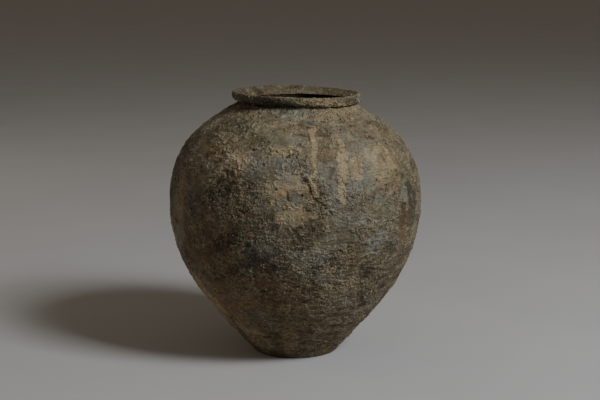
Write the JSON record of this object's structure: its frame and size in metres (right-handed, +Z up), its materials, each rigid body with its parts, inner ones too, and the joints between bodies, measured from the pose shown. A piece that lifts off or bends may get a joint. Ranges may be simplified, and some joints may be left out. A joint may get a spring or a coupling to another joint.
{
  "type": "clay storage jar",
  "caption": "Large matte dark clay storage jar: narrow flat foot, conical lower wall, full round shoulder, short neck and a thick everted rim.",
  "frame": {"origin": "centre of the flat foot, on the surface the jar stands on", "axes": "+Z up along the jar's axis of symmetry, out of the mouth; the jar is round, so +X (right) and +Y (away) are free"},
  "size_m": [0.477, 0.477, 0.5],
  "materials": {
    "base_clay": "matte, low-fired dark clay, sooty and rough, worn at the standing edge",
    "wall_clay": "matte, unglazed, olive-grey to brown-black, crusted with grit and old slip",
    "rim_clay": "matte, unglazed, heavily crusted with pale grit"
  },
  "bodies": {
    "root": {"base_dish": "base_clay", "wall_course_1": "wall_clay", "wall_course_2": "wall_clay", "wall_course_3": "wall_clay", "wall_course_4": "wall_clay", "wall_course_5": "wall_clay", "wall_course_6": "wall_clay", "wall_course_7": "wall_clay", "neck_collar": "wall_clay", "rim_coil": "rim_clay"}
  },
  "joints": []
}
